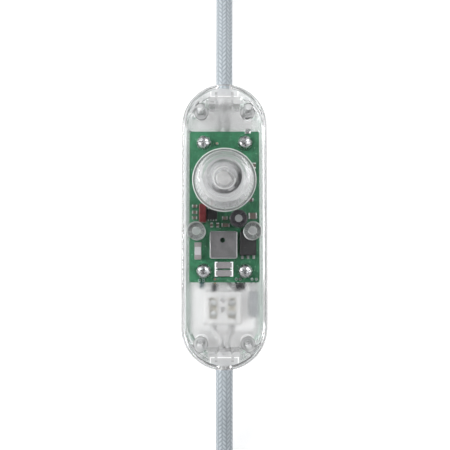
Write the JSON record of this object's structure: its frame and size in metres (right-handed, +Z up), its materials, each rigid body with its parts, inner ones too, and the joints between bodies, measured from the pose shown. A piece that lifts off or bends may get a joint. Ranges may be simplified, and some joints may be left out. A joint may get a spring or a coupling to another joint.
{
  "type": "rotary cord dimmer",
  "caption": "Clear stadium-shaped in-line dimmer with a fluted rotary knob over a green circuit board, on a round braided lamp flex with a two-pin plug.",
  "frame": {"origin": "under the middle of the housing, on the surface that it lies on", "axes": "+Z up, out of the knob; +Y along the flex towards the lamp; +X to the right when seen from above with the lamp side away"},
  "size_m": [0.0556, 0.4389, 0.0389],
  "materials": {
    "clear_shell": "clear polycarbonate, polished",
    "clear_knob": "clear polycarbonate, polished",
    "clear_clamp": "clear polycarbonate, polished",
    "board": "green glass-fibre board, satin",
    "steel": "bright zinc-plated steel",
    "tin": "tinned, satin",
    "can_grey": "satin",
    "can_aluminium": "satin",
    "sleeve": "glossy shrink sleeve",
    "red_case": "glossy dipped case",
    "black_case": "matt moulding compound",
    "chip_ceramic": "fired, matt",
    "resistor_case": "coated, satin",
    "dark_chip": "fired, matt",
    "ferrite": "matt ferrite",
    "disc_coat": "dipped, satin",
    "grey_case": "matt",
    "terminal_plastic": "matt",
    "brass": "satin",
    "pad_soft": "soft translucent pad, matt",
    "copper": "bare copper strands",
    "core_white": "satin insulation",
    "core_black": "satin insulation",
    "sheath": "satin sheath",
    "braid": "slate-blue woven braid",
    "tie": "soft strap",
    "plug_white": "satin moulding",
    "pin_nickel": "nickel-plated brass",
    "pot_case": "matt moulding",
    "track": "carbon track on a wafer",
    "shaft_metal": "turned"
  },
  "bodies": {
    "housing": {"upper_shell": "clear_shell", "lower_shell": "clear_shell", "mains_cord_clamp": "clear_clamp", "lamp_cord_clamp": "clear_clamp", "press_pads": "pad_soft", "circuit_board": "board", "board_screws": "steel", "housing_screws": "steel", "terminal_screws": "steel", "solder_joints": "tin", "pot_terminals": "tin", "shield_can": "can_grey", "capacitor_can": "can_aluminium", "capacitor_sleeve": "sleeve", "film_capacitor": "red_case", "control_chip": "black_case", "power_package": "black_case", "chip_fuse": "chip_ceramic", "power_resistors": "resistor_case", "small_chips": "dark_chip", "suppression_choke": "ferrite", "varistor": "disc_coat", "suppression_capacitor": "grey_case", "terminal_block": "terminal_plastic", "terminal_inserts": "brass", "core_conductors": "copper", "mains_live_core": "core_white", "mains_neutral_core": "core_white", "lamp_live_core": "core_white", "lamp_neutral_core": "core_white", "board_lead": "core_black", "mains_sheath_end": "sheath", "lamp_sheath_end": "sheath", "pot_body": "pot_case", "pot_track": "track", "pot_cover": "can_aluminium", "pot_bushing": "steel", "mains_cord": "braid", "lamp_cord": "braid", "plug_cord": "braid", "mains_hank": "braid", "lamp_hank": "braid", "mains_tie": "tie", "lamp_tie": "tie", "lamp_core_ends": "core_white", "plug_relief": "plug_white", "plug_body": "plug_white", "plug_sleeves": "core_black", "plug_pins": "pin_nickel"},
    "knob": {"knob": "clear_knob", "pot_shaft": "shaft_metal", "wiper": "brass"}
  },
  "joints": [
    {"name": "knob_turn", "type": "hinge", "parent": "housing", "child": "knob", "pos_m": [0, 0.0172, 0], "axis": [0, 0, 1], "range_deg": [-150, 150]}
  ]
}
